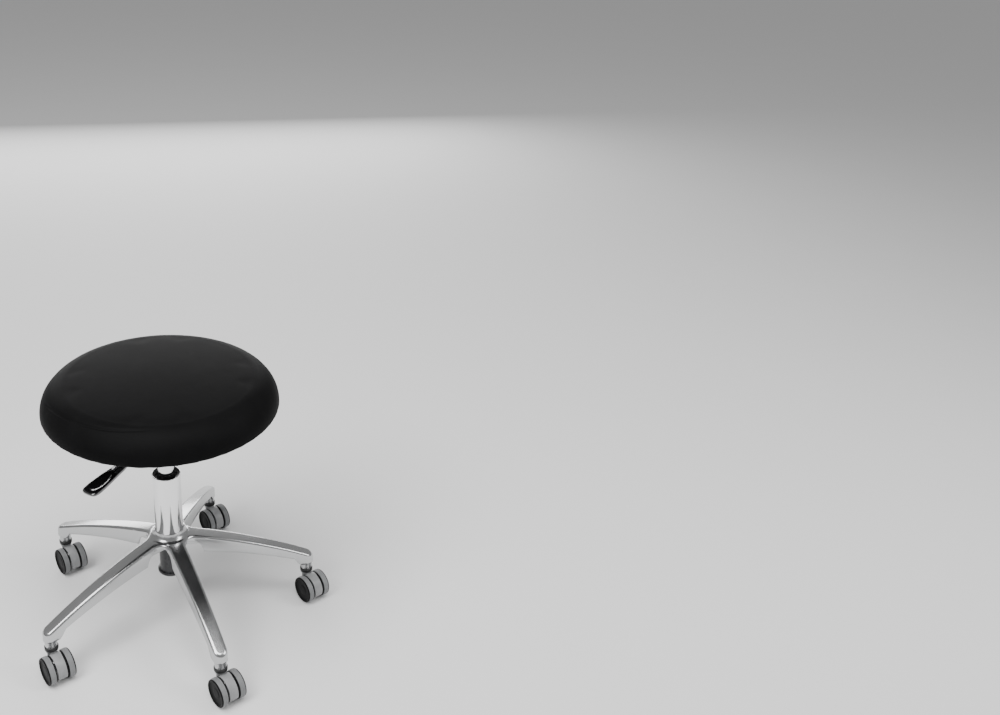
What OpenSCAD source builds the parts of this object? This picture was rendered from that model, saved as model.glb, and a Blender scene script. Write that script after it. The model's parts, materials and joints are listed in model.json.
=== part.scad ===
// Round dentist stool: five-arm cast base on twin-wheel casters, gas lift column,
// seat plate with a height lever, and a round upholstered seat.
// Millimetres. The origin is on the floor under the column axis, +Z is up, arm 1 points along +X.

/* [Base casting] */
// Radius of the circle through the caster stems
base_r = 250; // [240:1:262]
// Width of an arm where it leaves the hub
arm_root_w = 31; // [29:0.5:33]
// Width of an arm at its tip
arm_tip_w = 24; // [23:0.5:26]
// Height of an arm's top face where it leaves the hub
arm_root_z = 160; // [158:1:163]
// Height of an arm's top face over the caster stem
arm_tip_z = 94; // [92:1:97]
// Share of the arm's fall that is curved, from straight to fully bowed
arm_bow = 0.38; // [0.3:0.02:0.5]
// Height of the hub's collar round the column
hub_top_z = 174; // [172:1:178]
// Thickness of the casting's side walls
wall = 3.5; // [3:0.25:4]
// Thickness of the casting's top
top_wall = 4.5; // [4:0.25:5]

/* [Casters] */
// Diameter over the treads
wheel_d = 50; // [50:0.5:51]
// Width over both outer wheel faces
caster_w = 47; // [46:0.5:50]
// Distance from the stem's axis to the axle
caster_trail = 19.5; // [19:0.25:21]
// Direction in which the casters trail at rest, in degrees
caster_heading = -62; // [-180:1:180]
// Height of the underside of the stem's collar
collar_z = 54; // [54:0.5:55]

/* [Column and gas lift] */
// Diameter of the chromed column tube
column_d = 50; // [49:0.5:51]
// Height of the column tube's mouth
column_top_z = 290; // [285:1:300]
// Height of the lower end of the column's foot
column_foot_z = 79; // [77:1:82]
// Diameter of the gas cylinder
gas_d = 28; // [27.5:0.5:28.5]
// Diameter of the piston rod
rod_d = 10; // [9:0.5:11]

/* [Lever] */
// Direction in which the lever points, in degrees
lever_heading = 230; // [0:1:359]
// Slope of the lever rod, in degrees
lever_slope = 14.4; // [12:0.2:15]
// Slope of the lever's paddle, in degrees
paddle_slope = 7; // [5:0.5:9]
// Length of the paddle beyond the rod's bend
paddle_len = 79; // [74:1:90]
// Width of the paddle
paddle_w = 31; // [28:1:34]

/* [Seat] */
// Diameter of the seat over its cover
seat_d = 399; // [380:1:420]
// Height of the cover's lower edge
seat_bottom_z = 428; // [426:0.5:430]
// Height of the cover's top where its rounded side ends
seat_edge_z = 481.5; // [478:0.5:490]
// Rise of the crown at the centre above that
seat_crown = 6; // [3:1:12]
// Thickness of the leatherette cover
cover_t = 1.2; // [1:0.1:1.4]
// Thickness of the plywood board
board_t = 12; // [11:0.5:13]

/* [Hidden] */
$fn = 96;
ARMS = 5;
STEP = 360 / ARMS;
eps = 0.5;
fit = 0.05;             // radial clearance of a running fit
gap = 0.3;              // clearance between faces that move past each other

// Base casting
arm_root_r = 45;        // where the arms' straight sides start
web_r = 39;             // radius of the hub's edge between two arms
arm_foot_z = 126;       // lower edge of an arm's side wall by the hub
arm_foot_drop = 48;     // fall of that edge from the hub to the stem circle
tip_r = 12;             // round end of an arm
heel_z = 71;            // lower edge of the walls round the socket
socket_r = 10.5;
socket_z = collar_z + 4;
stem_r = 5.5;
stem_top_z = socket_z + 25;
boss_r = 28;
boss_z = 136;
ledge_z = 146;
spigot_r = 20;
window_w = 32;
window_top_z = 149;
// the fillet between two arms is tangent to both arms and to the web circle
fillet_r = (web_r * sin(STEP / 2) - arm_root_w / 2) / (1 - sin(STEP / 2));
fillet_c = web_r + fillet_r;

// Casters
wheel_r = wheel_d / 2;
hood_r = wheel_r - 0.5;
hood_w = 17.2;
hood_from = -38;        // ends of the hood's band, in degrees round the axle
hood_to = 118;
wheel_in = 10;          // inner face of a wheel, from the caster's middle plane
wheel_out = caster_w / 2;
tread_in = wheel_in + 1.4;
tread_out = wheel_out - 2.2;
drum_r = wheel_r - 3.5;
axle_r = 3;
journal_r = 4;
collar_t = socket_z - collar_z;
hub_z = 31;             // underside of the housing's stem hub
hub_r = 8.2;
washer_t = 2;           // head that holds the housing up on the stem

// Column and gas lift
tube_r = column_d / 2;
tube_in = tube_r - 1.6;
gas_r = gas_d / 2;
gas_in = gas_r - 2.5;
gas_low_z = 140;
gas_top_z = 383;
cone_z = 330;           // where the gas cylinder's taper starts
cone_r = gas_r - 1.1;
rod_r = rod_d / 2;
bushing_z = 215;
clip_z = 82;
clip_t = 1.2;
buffer_z = 96;
race_z = 87;
race_t = 2.5;
race_r = 14;
ball_r = 1.75;
ball_pitch_r = 9;
BALLS = 12;
piston_z = 242;

// Seat plate and lever
plate_w = 184;
bolt_pitch = 160;
sheet_t = 2.5;
board_z = seat_bottom_z + cover_t;
plate_z = board_z - sheet_t;
pan_w = 84;
pan_z = 372;
cup_r = 17.9;
cup_z = 326;
pivot_x = 33;
pivot_z = 383;
pivot_r = 3;
lever_r = 4;
bend_x = 109;
bend_z = pivot_z - (bend_x - pivot_x) * tan(lever_slope);
pad_z = 389;
pin_r = 4;
tang_w = 10;
tang_t = 3;
tang_len = 42;
paddle_t = 7.5;
neck_r = 6.5;

// Seat
seat_r = seat_d / 2;
low_round = 5;
side_reach = 46;        // width and height of the rounded side
side_rise = seat_edge_z - seat_bottom_z - low_round - 0.5;
hem_r = 152;
board_r = seat_r - 14.5;
board_top_z = board_z + board_t;

function arm_top(r) =
    let (t = (r - arm_root_r) / (base_r - arm_root_r))
    arm_root_z - (arm_root_z - arm_tip_z) * ((1 - arm_bow) * t + arm_bow * t * t);
function arm_foot(r) =
    let (t = max(0, r - arm_root_r - 5) / (base_r - arm_root_r - 5))
    arm_foot_z - arm_foot_drop * (t + t * t) / 2;
function arc(cx, cy, r, a0, a1, n) =
    [for (k = [0:n]) let (a = a0 + (a1 - a0) * k / n) [cx + r * cos(a), cy + r * sin(a)]];
function caster_node(i, piece) = str("caster_", i, "_", piece);

CASTER_PIECES = ["housing", "stem", "axle", "wheel_left", "tread_left", "wheel_right", "tread_right"];

module ring(r_out, r_in, z0, z1) {
    translate([0, 0, z0]) difference() {
        cylinder(r = r_out, h = z1 - z0);
        translate([0, 0, -eps]) cylinder(r = r_in, h = z1 - z0 + 2 * eps);
    }
}

module rod_between(a, b, r) {
    d = b - a;
    translate(a) rotate([0, acos(d[2] / norm(d)), atan2(d[1], d[0])]) cylinder(r = r, h = norm(d));
}

// ---------------------------------------------------------------- base casting

// Plan of the five arms and the hub, drawn in by the given amount on every side
module base_plan(inset, end_r) {
    root = arm_root_w / 2 - inset;
    tip = arm_tip_w / 2 - inset;
    for (i = [0:ARMS - 1]) rotate(STEP * i) {
        polygon([
            [0, -root],
            [arm_root_r, -root],
            [end_r, -tip],
            [end_r, tip],
            [arm_root_r, root],
            [0, root]
        ]);
    }
    difference() {
        circle(r = norm([arm_root_r, arm_root_w / 2]) - inset);
        for (i = [0:ARMS - 1]) rotate(STEP * (i + 0.5)) translate([fillet_c, 0]) circle(r = fillet_r + inset);
    }
}

// Side outline of an arm, turned round the column: the top face, and the walls' lower edge
module arm_slice() {
    last = base_r + tip_r + 1;
    gusset = base_r - 24;
    tops = [for (k = [0:16]) let (r = arm_root_r + (last - arm_root_r) * k / 16) [r, arm_top(r)]];
    feet = [for (k = [10:-1:0]) let (r = arm_root_r + (gusset - arm_root_r) * k / 10) [r, arm_foot(r)]];
    heel = [[last, heel_z], [base_r - tip_r, heel_z]];
    rotate_extrude() polygon(concat([[0, arm_root_z + 2]], tops, heel, feet, [[0, arm_foot_z]]));
}

// Space under the top face, between the side walls
module arm_channel() {
    last = base_r - socket_r - 1.5;
    tops = [for (k = [0:12]) let (r = arm_root_r + (last - arm_root_r) * k / 12) [r, arm_top(r) - top_wall]];
    difference() {
        intersection() {
            linear_extrude(height = 200) base_plan(wall, last);
            rotate_extrude() polygon(concat([[0, arm_root_z - top_wall + 1]], tops, [[last, 0], [0, 0]]));
        }
        cylinder(r = boss_r, h = 200);
    }
}

module hub_collar() {
    lip = 1.8;
    flare = 13;
    fillet = arc(tube_r + lip + flare, hub_top_z, flare, 180, 262, 6);
    rotate_extrude() polygon(concat(
        [[0, boss_z], [boss_r, boss_z], [boss_r, arm_root_z - 4], [tube_r + flare + 0.04, arm_root_z - 4]],
        [for (k = [6:-1:0]) fillet[k]],
        [[0, hub_top_z]]
    ));
}

// The arms' side walls, carried on under the hub to its boss
module hub_webs() {
    for (i = [0:ARMS - 1]) for (side = [0, 1]) rotate(STEP * i) mirror([0, side, 0])
        translate([boss_r - 5, arm_root_w / 2 - wall + 0.2, arm_foot_z + 0.4])
            cube([arm_root_r + 9 - boss_r, wall - 0.5, arm_root_z - arm_foot_z - 3]);
}

module base_casting() color("gainsboro") difference() {
    union() {
        difference() {
            intersection() {
                linear_extrude(height = 200) {
                    base_plan(0, base_r);
                    for (i = [0:ARMS - 1]) rotate(STEP * i) translate([base_r, 0]) circle(r = tip_r);
                }
                arm_slice();
            }
            arm_channel();
            cylinder(r = boss_r, h = boss_z);
            for (i = [0:ARMS - 1]) rotate(STEP * (i + 0.5)) {
                translate([boss_r - 4, 0, window_top_z - window_w / 2]) rotate([0, 90, 0])
                    cylinder(d = window_w, h = 30);
                translate([boss_r - 4, -window_w / 2, 0]) cube([30, window_w, window_top_z - window_w / 2]);
            }
        }
        hub_collar();
        hub_webs();
        for (i = [0:ARMS - 1]) rotate(STEP * i) translate([base_r, 0, socket_z])
            cylinder(r = socket_r, h = arm_tip_z - socket_z - 8);
    }
    translate([0, 0, boss_z - eps]) cylinder(r = spigot_r + 0.03, h = 60);
    translate([0, 0, ledge_z]) cylinder(r = tube_r + 0.03, h = 60);
    for (i = [0:ARMS - 1]) rotate(STEP * i) translate([base_r, 0, socket_z - eps])
        cylinder(r = stem_r + 0.02, h = stem_top_z - socket_z + 2 * eps);
}

// ---------------------------------------------------------------- casters

module at_caster(i) {
    rotate(STEP * (i - 1)) translate([base_r, 0, 0]) rotate(caster_heading - STEP * (i - 1)) children();
}

module caster_collars() color("#202022") for (i = [1:ARMS]) at_caster(i)
    ring(11, 8.02, collar_z + gap, socket_z);

module caster_stem() color("silver") {
    translate([0, 0, hub_z]) cylinder(r = journal_r + 1.4, h = washer_t);
    translate([0, 0, hub_z + washer_t]) cylinder(r = journal_r, h = collar_z - hub_z - washer_t + gap);
    translate([0, 0, collar_z + gap]) cylinder(r = 8, h = collar_t - gap);
    translate([0, 0, socket_z]) cylinder(r = stem_r, h = stem_top_z - socket_z - 1);
    translate([0, 0, stem_top_z - 1]) cylinder(r1 = stem_r, r2 = stem_r - 1, h = 1);
}

// Side view of the hood: a band over the wheels, open towards the floor and the front
module hood_sector(r_out, from, to) {
    reach = 2 * r_out;
    intersection() {
        circle(r = r_out);
        polygon([
            [0, 0],
            [reach * cos(from), reach * sin(from)],
            [reach, reach],
            [reach * cos(to), reach * sin(to)]
        ]);
    }
}

module caster_housing() color("#b9bbbd") difference() {
    union() {
        translate([caster_trail, 0, wheel_r]) rotate([90, 0, 0]) {
            linear_extrude(height = hood_w, center = true) difference() {
                hood_sector(hood_r, hood_from, hood_to);
                circle(r = hood_r - 2.5);
            }
            linear_extrude(height = 5, center = true) {
                hood_sector(hood_r - 1, hood_from + 2, hood_to - 2);
                circle(r = 8);
            }
            cylinder(r = 7, h = 2 * wheel_in - 0.8, center = true);
        }
        translate([0, 0, hub_z]) cylinder(r = hub_r, h = collar_z - hub_z - 5);
        translate([0, 1 - hub_r, hub_z + 0.5]) cube([12, 2 * hub_r - 2, 13]);
        translate([0, 0, collar_z - 7]) cylinder(r = 10, h = 7);
    }
    translate([0, 0, hub_z - 1]) cylinder(r = journal_r + 2, h = washer_t + 1 + gap);
    translate([0, 0, hub_z - 1]) cylinder(r = journal_r + fit, h = 30);
    translate([caster_trail, 0, wheel_r]) rotate([90, 0, 0])
        cylinder(r = axle_r, h = 4 * wheel_in, center = true);
}

module caster_axle() color("silver")
    translate([caster_trail, 0, wheel_r]) rotate([90, 0, 0])
        cylinder(r = axle_r, h = 2 * wheel_out - 8, center = true);

// Turns a radius-and-width outline round the axle, on the right or the left of the caster
module on_axle(side) {
    translate([caster_trail, 0, wheel_r]) mirror([0, side == "left" ? 1 : 0, 0])
        rotate([-90, 0, 0]) rotate_extrude() children();
}

module wheel(side) color("#3a3c3f") on_axle(side) polygon([
    [axle_r + fit, wheel_in],
    [6, wheel_in],
    [7, wheel_out - 6.5],
    [drum_r - 2.5, wheel_out - 5.5],
    [drum_r - 2.5, tread_in + 0.4],
    [drum_r, tread_in + 0.4],
    [drum_r, tread_out],
    [wheel_r - 0.7, tread_out],
    [wheel_r - 0.6, wheel_out - 1.2],
    [wheel_r - 1.2, wheel_out - 0.3],
    [wheel_r - 2.4, wheel_out],
    [wheel_r - 3.6, wheel_out - 0.4],
    [wheel_r - 4.6, wheel_out - 1.8],
    [9, wheel_out - 2.6],
    [0, wheel_out - 2.4],
    [0, wheel_out - 3.6],
    [axle_r + fit, wheel_out - 3.6]
]);

module tread(side) color("#a4a6a8") on_axle(side) polygon([
    [drum_r, tread_in],
    [wheel_r - 1.7, tread_in],
    [wheel_r - 0.5, tread_in + 0.5],
    [wheel_r, tread_in + 1.7],
    [wheel_r, tread_out - 1],
    [wheel_r - 0.5, tread_out],
    [drum_r, tread_out]
]);

// ---------------------------------------------------------------- column and gas lift

module column_tube() color("whitesmoke") difference() {
    ring(tube_r, tube_in, ledge_z, column_top_z);
    translate([0, 0, column_top_z - 0.8]) cylinder(r1 = tube_in, r2 = tube_in + 0.9, h = 0.81);
}

module column_spigot() color("#1c1c1e") difference() {
    union() {
        translate([0, 0, column_foot_z + 2]) cylinder(r = spigot_r, h = ledge_z - column_foot_z - 2);
        translate([0, 0, column_foot_z]) cylinder(r1 = spigot_r - 2, r2 = spigot_r, h = 2);
        translate([0, 0, ledge_z]) cylinder(r = tube_in - 0.02, h = 14);
    }
    translate([0, 0, race_z]) cylinder(r = spigot_r - 4, h = 100);
    translate([0, 0, column_foot_z - eps]) cylinder(r = 13, h = race_z - 3 - column_foot_z + eps);
    translate([0, 0, 70]) cylinder(r = rod_r + fit, h = 30);
}

module column_bushing() color("#232326") difference() {
    ring(tube_in - 0.02, gas_r + fit, bushing_z, column_top_z - 3);
    translate([0, 0, column_top_z - 9]) cylinder(r1 = gas_r + 1.6, r2 = tube_in - 2.4, h = 6.01);
    translate([0, 0, bushing_z - 1]) cylinder(r = tube_in - 4, h = 22);
}

module thrust_race_lower() color("silver") difference() {
    ring(race_r, rod_r + 0.6, race_z, race_z + race_t);
    translate([0, 0, race_z + race_t + ball_r]) rotate_extrude()
        translate([ball_pitch_r, 0]) circle(r = ball_r + 0.5, $fn = 32);
}

module thrust_race_upper() color("silver") difference() {
    ring(race_r, rod_r, race_z + race_t + 2 * ball_r, race_z + 2 * race_t + 2 * ball_r);
    translate([0, 0, race_z + race_t + ball_r]) rotate_extrude()
        translate([ball_pitch_r, 0]) circle(r = ball_r + 0.5, $fn = 32);
}

module thrust_balls() color("silver") for (k = [0:BALLS - 1]) rotate(360 / BALLS * k)
    translate([ball_pitch_r, 0, race_z + race_t + ball_r]) sphere(r = ball_r, $fn = 32);

module piston_rod() color("silver") difference() {
    translate([0, 0, column_foot_z + 1]) cylinder(r = rod_r, h = piston_z - column_foot_z - 1);
    ring(rod_r + 1, rod_r - 0.8, clip_z - 0.1, clip_z + clip_t + 0.1);
}

module rod_clip() color("#4a4c50") ring(9.5, rod_r - 0.8, clip_z, clip_z + clip_t);

module rubber_buffer() color("#151516") ring(11, rod_r, buffer_z, buffer_z + 10);

module piston() color("goldenrod") {
    translate([0, 0, piston_z]) cylinder(r = gas_in - 0.08, h = 4);
    translate([0, 0, piston_z + 4]) cylinder(r = gas_in - 1.5, h = 3);
    translate([0, 0, piston_z + 7]) cylinder(r = gas_in - 0.08, h = 4);
}

module gas_cylinder() color("whitesmoke") difference() {
    union() {
        translate([0, 0, gas_low_z]) cylinder(r = gas_r, h = cone_z - gas_low_z);
        translate([0, 0, cone_z]) cylinder(r1 = gas_r, r2 = cone_r, h = gas_top_z - cone_z);
    }
    translate([0, 0, gas_low_z - eps]) cylinder(r = gas_in, h = gas_top_z - 12 - gas_low_z + eps);
    translate([0, 0, gas_top_z - 20]) cylinder(r = pin_r, h = 30);
}

module cylinder_seal() color("#2c2c2f") ring(gas_in, rod_r + fit, gas_low_z + 1, gas_low_z + 9);

module release_pin() color("silver") {
    translate([0, 0, gas_top_z - 18]) cylinder(r = pin_r - fit, h = 20);
    translate([0, 0, gas_top_z + 2]) cylinder(r1 = pin_r - fit, r2 = 2, h = pad_z - gap - gas_top_z - 2);
}

// ---------------------------------------------------------------- seat plate and lever

module at_lever() rotate(lever_heading) children();

module bolt_places() at_lever() for (x = [-1, 1]) for (y = [-1, 1])
    translate([x * bolt_pitch / 2, y * bolt_pitch / 2, 0]) children();

module seat_plate() color("#2a2b2e") difference() {
    at_lever() difference() {
        union() {
            translate([-plate_w / 2, -plate_w / 2, plate_z]) cube([plate_w, plate_w, sheet_t]);
            translate([-pan_w / 2, -pan_w / 2, pan_z]) cube([pan_w, pan_w, plate_z - pan_z]);
        }
        translate([sheet_t - pan_w / 2, sheet_t - pan_w / 2, pan_z + sheet_t])
            cube([pan_w - 2 * sheet_t, pan_w - 2 * sheet_t, 60]);
        translate([pan_w / 2 - 5, -7, pan_z + sheet_t]) cube([10, 14, 22]);
    }
    cylinder(r = cup_r + 0.1, h = 400);
    bolt_places() translate([0, 0, plate_z - eps]) cylinder(r = 3.3, h = sheet_t + 2 * eps);
}

// Tapered cup for the gas cylinder, with a flange and the two ears that hold the lever's pin
module plate_socket() color("#2a2b2e") difference() {
    union() {
        translate([0, 0, cup_z]) cylinder(r = cup_r, h = pan_z + sheet_t - cup_z);
        translate([0, 0, pan_z + sheet_t]) cylinder(r = 23, h = 4);
        at_lever() for (side = [-1, 1]) translate([0, side * 9.5 + 1.5, pan_z + sheet_t])
            rotate([90, 0, 0]) linear_extrude(height = 3) polygon([
                [18, 0.6],
                [pivot_x + 6, 0.6],
                [pivot_x + 6, pivot_z - pan_z + 3],
                [pivot_x - 6, pivot_z - pan_z + 3],
                [pivot_x - 6, 3.4],
                [18, 3.4]
            ]);
    }
    translate([0, 0, cup_z - eps]) cylinder(r = gas_r + 0.02, h = cone_z - cup_z + eps);
    translate([0, 0, cone_z])
        cylinder(r1 = gas_r + 0.02, r2 = cone_r + 0.02, h = gas_top_z - cone_z);
    at_lever() translate([pivot_x, 0, pivot_z]) rotate([90, 0, 0])
        cylinder(r = pivot_r, h = 60, center = true);
}

module lever_pivot_pin() color("silver") at_lever() translate([pivot_x, 0, pivot_z]) rotate([90, 0, 0]) {
    cylinder(r = pivot_r, h = 23, center = true);
    translate([0, 0, 11]) cylinder(r = pivot_r + 1.5, h = 1.5);
}

// Frame of the paddle: origin at the rod's bend, +X along the paddle
module at_bend() translate([bend_x, 0, bend_z]) rotate([0, paddle_slope, 0]) children();

module lever_core() {
    rod_between([pivot_x, 0, pivot_z], [bend_x, 0, bend_z], lever_r);
    at_bend() translate([-3, -tang_w / 2, -tang_t / 2]) cube([tang_len, tang_w, tang_t]);
}

module lever_rod() color("silver") at_lever() difference() {
    union() {
        lever_core();
        rod_between([pivot_x, 0, pivot_z], [1, 0, pad_z + 3.6], lever_r - 0.5);
        translate([0, 0, pad_z]) cylinder(r = 5, h = 4);
        translate([pivot_x, 0, pivot_z]) rotate([90, 0, 0]) cylinder(r = 6.5, h = 15, center = true);
    }
    translate([pivot_x, 0, pivot_z]) rotate([90, 0, 0]) cylinder(r = pivot_r + fit, h = 20, center = true);
}

// Flat paddle that widens towards a blunt end, on a round neck that grips the rod
module lever_grip() color("#101012") at_lever() difference() {
    corner = 8;
    union() {
        at_bend() translate([0, 0, -paddle_t / 2]) linear_extrude(height = paddle_t) hull() {
            circle(r = neck_r, $fn = 32);
            for (side = [-1, 1]) translate([paddle_len - corner, side * (paddle_w / 2 - corner)])
                circle(r = corner, $fn = 32);
        }
        rod_between([bend_x - 14, 0, bend_z + 14 * tan(lever_slope)], [bend_x, 0, bend_z], neck_r);
        at_bend() rotate([0, 90, 0]) cylinder(r = neck_r, h = 16);
    }
    lever_core();
}

module plate_bolts() color("#5c5f63") bolt_places() {
    translate([0, 0, plate_z - 1.2]) cylinder(r = 7, h = 1.2);
    translate([0, 0, plate_z - 5]) cylinder(r = 5.5, h = 3.8, $fn = 6);
    translate([0, 0, plate_z]) cylinder(r = 3, h = sheet_t + board_t - 2);
}

module tee_nuts() color("silver") bolt_places() difference() {
    union() {
        translate([0, 0, board_z + 0.5]) cylinder(r = 4.4, h = board_t - 2);
        translate([0, 0, board_top_z - 1.5]) cylinder(r = 9, h = 1.5);
    }
    cylinder(r = 3.05, h = board_top_z + eps);
}

// ---------------------------------------------------------------- seat

// Half outline of the seat from its lower edge to its crown, drawn in by the given amount
function seat_outline(inset) = concat(
    arc(seat_r - low_round, seat_bottom_z + low_round, low_round - inset, -90, 0, 5),
    [for (a = [0:7:84]) [
        seat_r - side_reach + (side_reach - inset) * cos(a),
        seat_edge_z - side_rise + (side_rise - inset) * sin(a)
    ]],
    [for (k = [7:-1:0]) [
        (seat_r - side_reach) * k / 8,
        seat_edge_z - inset + seat_crown * (1 - pow(k / 8, 2))
    ]]
);

module seat_board() color("burlywood") difference() {
    translate([0, 0, board_z]) cylinder(r = board_r, h = board_t);
    bolt_places() translate([0, 0, board_z - eps]) cylinder(r = 4.4, h = board_t + 2 * eps);
    bolt_places() translate([0, 0, board_top_z - 1.5]) cylinder(r = 9, h = 2);
}

module seat_foam() color("lightyellow") rotate_extrude() intersection() {
    polygon(concat([[0, seat_bottom_z + cover_t]], seat_outline(cover_t)));
    translate([0, board_top_z]) square([seat_r, seat_edge_z]);
}

module seat_cover() color("#1a1a1c") rotate_extrude() difference() {
    polygon(concat([[0, seat_bottom_z]], seat_outline(0)));
    polygon(concat([[0, seat_bottom_z + cover_t]], seat_outline(cover_t)));
    translate([0, seat_bottom_z - eps]) square([hem_r, cover_t + 2 * eps]);
}

// ---------------------------------------------------------------- assembly

base_casting();
caster_collars();
column_tube();
column_spigot();
column_bushing();
thrust_race_lower();
thrust_balls();
thrust_race_upper();
piston_rod();
piston();
rubber_buffer();
rod_clip();
gas_cylinder();
cylinder_seal();
release_pin();
seat_plate();
plate_socket();
lever_pivot_pin();
lever_rod();
lever_grip();
plate_bolts();
tee_nuts();
seat_board();
seat_foam();
seat_cover();
for (i = [1:ARMS]) {
    at_caster(i) caster_housing();
    at_caster(i) caster_stem();
    at_caster(i) caster_axle();
    at_caster(i) wheel("left");
    at_caster(i) tread("left");
    at_caster(i) wheel("right");
    at_caster(i) tread("right");
}
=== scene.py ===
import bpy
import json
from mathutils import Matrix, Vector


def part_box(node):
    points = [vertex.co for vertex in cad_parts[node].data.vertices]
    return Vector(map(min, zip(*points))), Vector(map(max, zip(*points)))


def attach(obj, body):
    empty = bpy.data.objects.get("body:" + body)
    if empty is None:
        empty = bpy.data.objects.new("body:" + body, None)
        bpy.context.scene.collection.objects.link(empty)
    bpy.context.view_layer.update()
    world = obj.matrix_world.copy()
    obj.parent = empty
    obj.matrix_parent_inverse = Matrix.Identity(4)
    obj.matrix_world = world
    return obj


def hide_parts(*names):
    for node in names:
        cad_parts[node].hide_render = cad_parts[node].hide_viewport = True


bl_info = {
    "name": "Dentist Stool",
    "version": (1, 0, 0),
    "blender": (4, 5, 0),
    "location": "View3D > Sidebar > Stool",
    "description": "Builds the visible pieces of a round upholstered stool on a cast base",
    "category": "Add Mesh",
}

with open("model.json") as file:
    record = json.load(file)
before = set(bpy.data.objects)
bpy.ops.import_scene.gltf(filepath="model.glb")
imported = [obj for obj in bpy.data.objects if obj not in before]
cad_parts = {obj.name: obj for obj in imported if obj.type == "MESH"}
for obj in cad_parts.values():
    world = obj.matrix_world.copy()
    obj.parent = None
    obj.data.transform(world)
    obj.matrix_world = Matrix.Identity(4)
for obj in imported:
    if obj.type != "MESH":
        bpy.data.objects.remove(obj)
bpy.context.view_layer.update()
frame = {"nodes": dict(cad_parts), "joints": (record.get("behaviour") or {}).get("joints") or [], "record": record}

import json
import math

import bmesh
import bpy
import numpy as np
from mathutils import Matrix, Vector, kdtree, noise

MM = 0.001
STEM_ARMS = range(1, 6)
STEP = math.radians(72)


def joint(name):
    return next(j for j in frame["joints"] if j["name"] == name)


STEM = {i: Vector(joint(f"caster_{i}_swivel")["pos_m"]) for i in STEM_ARMS}
AXLE = {i: Vector(joint(f"caster_{i}_roll_left")["pos_m"]) for i in STEM_ARMS}
AXLE_DIR = Vector(joint("caster_1_roll_left")["axis"])
LEVER_PIN = Vector(joint("lever_pull")["pos_m"])
BASE_R = STEM[1].xy.length
COLUMN_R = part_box("column_tube")[1].x
COLUMN_LOW, COLUMN_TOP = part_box("column_tube")[0].z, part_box("column_tube")[1].z
COLUMN_BORE = COLUMN_R - 1.62 * MM
GAS_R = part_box("gas_cylinder")[1].x
SEAT_LOW, SEAT_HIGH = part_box("seat_cover")[0].z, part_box("seat_cover")[1].z
SEAT_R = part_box("seat_cover")[1].x
BOARD_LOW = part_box("seat_board")[0].z
WHEEL_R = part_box("caster_1_tread_left")[1].z / 2


# ---------------------------------------------------------------- settings


def length(name, text, value, low, high):
    return bpy.props.FloatProperty(
        name=name, description=text, default=value, min=low, max=high, unit="LENGTH", subtype="DISTANCE"
    )


def colour(name, text, value):
    return bpy.props.FloatVectorProperty(
        name=name, description=text, default=value, size=3, min=0, max=1, subtype="COLOR"
    )


def amount(name, text, value):
    return bpy.props.FloatProperty(name=name, description=text, default=value, min=0, max=1, subtype="FACTOR")


class StoolMetalSettings(bpy.types.PropertyGroup):
    """Sizes and colours of the cast base, the column and the lever"""

    edge_round: length("Edge rounding", "Radius of the casting's upper edges", 0.0052, 0.002, 0.007)
    casting_wall: length("Casting wall", "Thickness of the arms' side walls", 0.0035, 0.003, 0.005)
    aluminium: colour("Aluminium", "Polished aluminium of the base", (0.55, 0.553, 0.557))
    chrome: colour("Chrome", "Chromed column and gas cylinder", (0.9, 0.9, 0.905))
    black_paint: colour("Black paint", "Paint on the column's foot", (0.02, 0.02, 0.022))
    grip: colour("Lever paddle", "Moulded plastic of the lever's paddle", (0.006, 0.006, 0.0065))
    polish: amount("Polish", "How evenly the casting is polished", 0.8)


class StoolCasterSettings(bpy.types.PropertyGroup):
    """Sizes and colours of the casters"""

    hood: colour("Hood", "Plastic of the caster's hood", (0.27, 0.273, 0.277))
    wheel: colour("Wheel", "Plastic of the wheel's face", (0.007, 0.007, 0.0075))
    tread: colour("Tread", "Soft tread round the wheel", (0.2, 0.204, 0.208))
    dish: length("Dish", "Depth of the wheel's dished face", 0.0022, 0.001, 0.003)


class StoolSeatSettings(bpy.types.PropertyGroup):
    """Sizes and colours of the seat"""

    cover: colour("Cover", "Black coated fabric of the seat", (0.0046, 0.0046, 0.0048))
    grain: length("Grain", "Size of the cover's pebble grain", 0.0011, 0.0005, 0.003)
    voxel: length("Cloth mesh", "Face size of the cushion's cloth simulation", 0.005, 0.004, 0.006)
    swell: length("Swell", "How far the cushion may swell", 0.004, 0.001, 0.016)
    plywood: colour("Plywood", "Bare board under the seat", (0.46, 0.32, 0.18))


class StoolStageSettings(bpy.types.PropertyGroup):
    """Colours of the floor and the light"""

    floor: colour("Floor", "Plain pale floor", (0.86, 0.86, 0.86))
    sky: colour("Sky", "Soft light all round", (1.0, 1.0, 1.0))


# ---------------------------------------------------------------- shader maths


class Value:
    """A number in a material, so that shader maths reads as a plain expression"""

    def __init__(self, paint, socket):
        self.paint, self.socket = paint, socket

    def maths(self, operation, *values):
        return self.paint.maths(operation, *values)

    def __add__(self, other):
        return self.maths("ADD", self, other)

    def __radd__(self, other):
        return self.maths("ADD", other, self)

    def __sub__(self, other):
        return self.maths("SUBTRACT", self, other)

    def __rsub__(self, other):
        return self.maths("SUBTRACT", other, self)

    def __mul__(self, other):
        return self.maths("MULTIPLY", self, other)

    def __rmul__(self, other):
        return self.maths("MULTIPLY", other, self)

    def sine(self):
        return self.maths("SINE", self)

    def ramp(self, low, high):
        """0 below low, 1 above high and smooth between them"""
        node = self.paint.add(
            "ShaderNodeMapRange",
            {"interpolation_type": "SMOOTHSTEP"},
            {"Value": self, "From Min": low, "From Max": high},
        )
        return Value(self.paint, node.outputs["Result"])


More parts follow.
